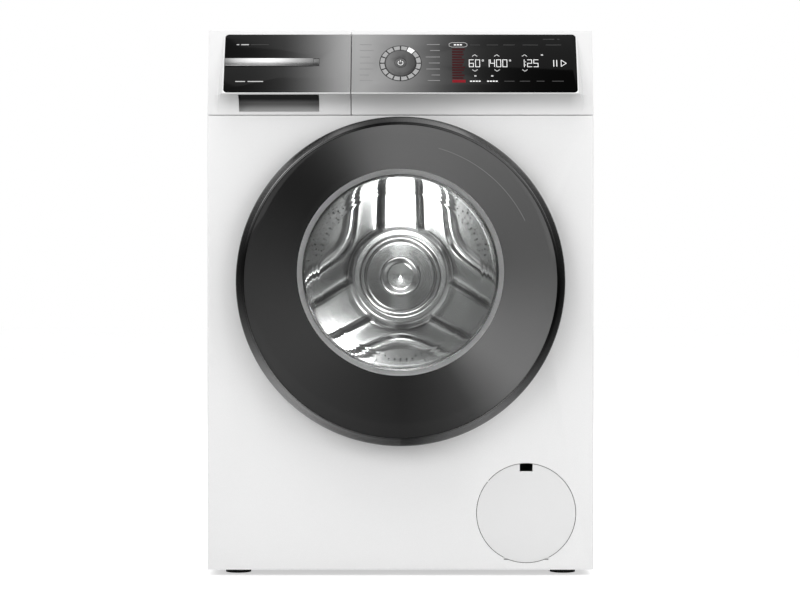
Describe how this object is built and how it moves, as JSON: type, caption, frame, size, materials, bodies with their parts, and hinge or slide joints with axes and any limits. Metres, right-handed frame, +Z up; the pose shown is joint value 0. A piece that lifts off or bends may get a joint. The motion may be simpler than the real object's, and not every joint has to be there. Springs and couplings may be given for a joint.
{
  "type": "front load washing machine",
  "caption": "Front load washer with a leaning glass control panel, detergent drawer, large round tinted door, suspended tub, belt-driven perforated drum and a round service flap.",
  "frame": {"origin": "on the floor at the centre of the overall footprint, door rim included", "axes": "+Z up, -Y towards the front, +X to the right seen from the front"},
  "size_m": [0.598, 0.636, 0.848],
  "materials": {
    "white_steel": "satin",
    "zinc": "satin",
    "white_top": "satin",
    "white_plastic": "satin",
    "grey_plastic": "matte",
    "dark_plastic": "matte",
    "board": "matte",
    "rubber_black": "matte",
    "rubber_grey": "matte",
    "steel": "brushed",
    "stainless": "brushed",
    "tub_plastic": "matte",
    "concrete": "matte",
    "cast_alloy": "cast",
    "motor_steel": "satin",
    "dark_glass": "gloss",
    "panel_glass": "gloss",
    "clear_glass": "gloss",
    "clear_cover": "gloss",
    "dark_chrome": "metallised",
    "silver_trim": "brushed"
  },
  "bodies": {
    "cabinet": {"side_panels": "white_steel", "rear_panel": "zinc", "rear_cover": "zinc", "worktop": "white_top", "front_panel": "white_steel", "base_tray": "grey_plastic", "cross_braces": "zinc", "levelling_feet": "dark_plastic", "control_fascia": "white_plastic", "fascia_glass": "panel_glass", "control_board": "board", "dispenser_housing": "tub_plastic", "inlet_valve": "white_plastic", "door_lock": "grey_plastic", "hinge_bracket": "steel", "drain_pump": "tub_plastic", "damper_cylinders": "dark_plastic", "rear_glands": "dark_plastic", "case_screws": "steel", "transport_caps": "white_plastic", "door_seal": "rubber_grey", "seal_clamp": "steel", "suspension_springs": "steel", "dispenser_hoses": "rubber_black", "sump_hose": "rubber_black"},
    "tub": {"tub_front": "tub_plastic", "tub_rear": "tub_plastic", "tub_clips": "steel", "upper_counterweight": "concrete", "front_counterweight": "concrete", "motor": "motor_steel", "drum_bearings": "steel", "shaft_seal": "rubber_black", "damper_rods": "steel", "drive_belt": "rubber_black", "heater": "stainless"},
    "drum": {"drum_shell": "stainless", "drum_front": "stainless", "drum_back": "stainless", "drum_lifters": "tub_plastic", "drum_spider": "cast_alloy", "drum_pulley": "cast_alloy"},
    "rotor": {"motor_rotor": "steel"},
    "door": {"door_ring": "dark_chrome", "door_cover": "dark_glass", "door_window": "clear_cover", "door_bowl": "clear_glass", "door_frame": "grey_plastic", "hinge_arm": "steel"},
    "latch": {"latch_hook": "steel"},
    "drawer": {"drawer_front": "white_plastic", "drawer_glass": "panel_glass", "drawer_trim": "silver_trim", "drawer_tray": "white_plastic"},
    "selector": {"selector_ring": "dark_glass"},
    "button": {"power_button": "dark_glass"},
    "flap": {"service_flap": "white_plastic"},
    "filter": {"filter_plug": "grey_plastic", "filter_basket": "grey_plastic"},
    "impeller": {"pump_impeller": "dark_plastic"}
  },
  "joints": [
    {"name": "door_hinge", "type": "hinge", "parent": "cabinet", "child": "door", "pos_m": [-0.228, -0.304, 0.47], "axis": [0, 0, -1], "range_deg": [0, 130]},
    {"name": "latch_pivot", "type": "hinge", "parent": "door", "child": "latch", "pos_m": [0.198, -0.29, 0.47], "axis": [0, 0, 1], "range_deg": [0, 10], "stiffness_Nm_per_rad": 0.3},
    {"name": "tub_bounce", "type": "slide", "parent": "cabinet", "child": "tub", "axis": [0, 0, 1], "range_m": [-0.008, 0.008], "stiffness_N_per_m": 20000, "springref_m": 0.02238, "deforming": ["door_seal", "suspension_springs", "dispenser_hoses", "sump_hose"]},
    {"name": "drum_spin", "type": "hinge", "parent": "tub", "child": "drum", "pos_m": [0, -0.012, 0.47], "axis": [0, 1, 0], "continuous": true},
    {"name": "motor_spin", "type": "hinge", "parent": "tub", "child": "rotor", "pos_m": [0, 0.138, 0.14], "axis": [0, 1, 0], "continuous": true},
    {"name": "drawer_slide", "type": "slide", "parent": "cabinet", "child": "drawer", "axis": [0, -1, 0], "range_m": [0, 0.2]},
    {"name": "selector_turn", "type": "hinge", "parent": "cabinet", "child": "selector", "pos_m": [0, -0.26929, 0.79445], "axis": [0, -0.8869, 0.4619], "continuous": true},
    {"name": "power_press", "type": "slide", "parent": "cabinet", "child": "button", "axis": [0, 0.8869, -0.4619], "range_m": [0, 0.0012], "stiffness_N_per_m": 800},
    {"name": "flap_hinge", "type": "hinge", "parent": "cabinet", "child": "flap", "pos_m": [0.1946, -0.2701, 0.0276], "axis": [1, 0, 0], "range_deg": [0, 90]},
    {"name": "filter_turn", "type": "hinge", "parent": "cabinet", "child": "filter", "pos_m": [0.1946, -0.222, 0.0976], "axis": [0, 1, 0], "range_deg": [0, 180]},
    {"name": "impeller_spin", "type": "hinge", "parent": "cabinet", "child": "impeller", "pos_m": [0.1946, -0.142, 0.0976], "axis": [0, 1, 0], "continuous": true}
  ],
  "couplings": [
    {"joint": "motor_spin", "follows": "drum_spin", "ratio": 14}
  ]
}
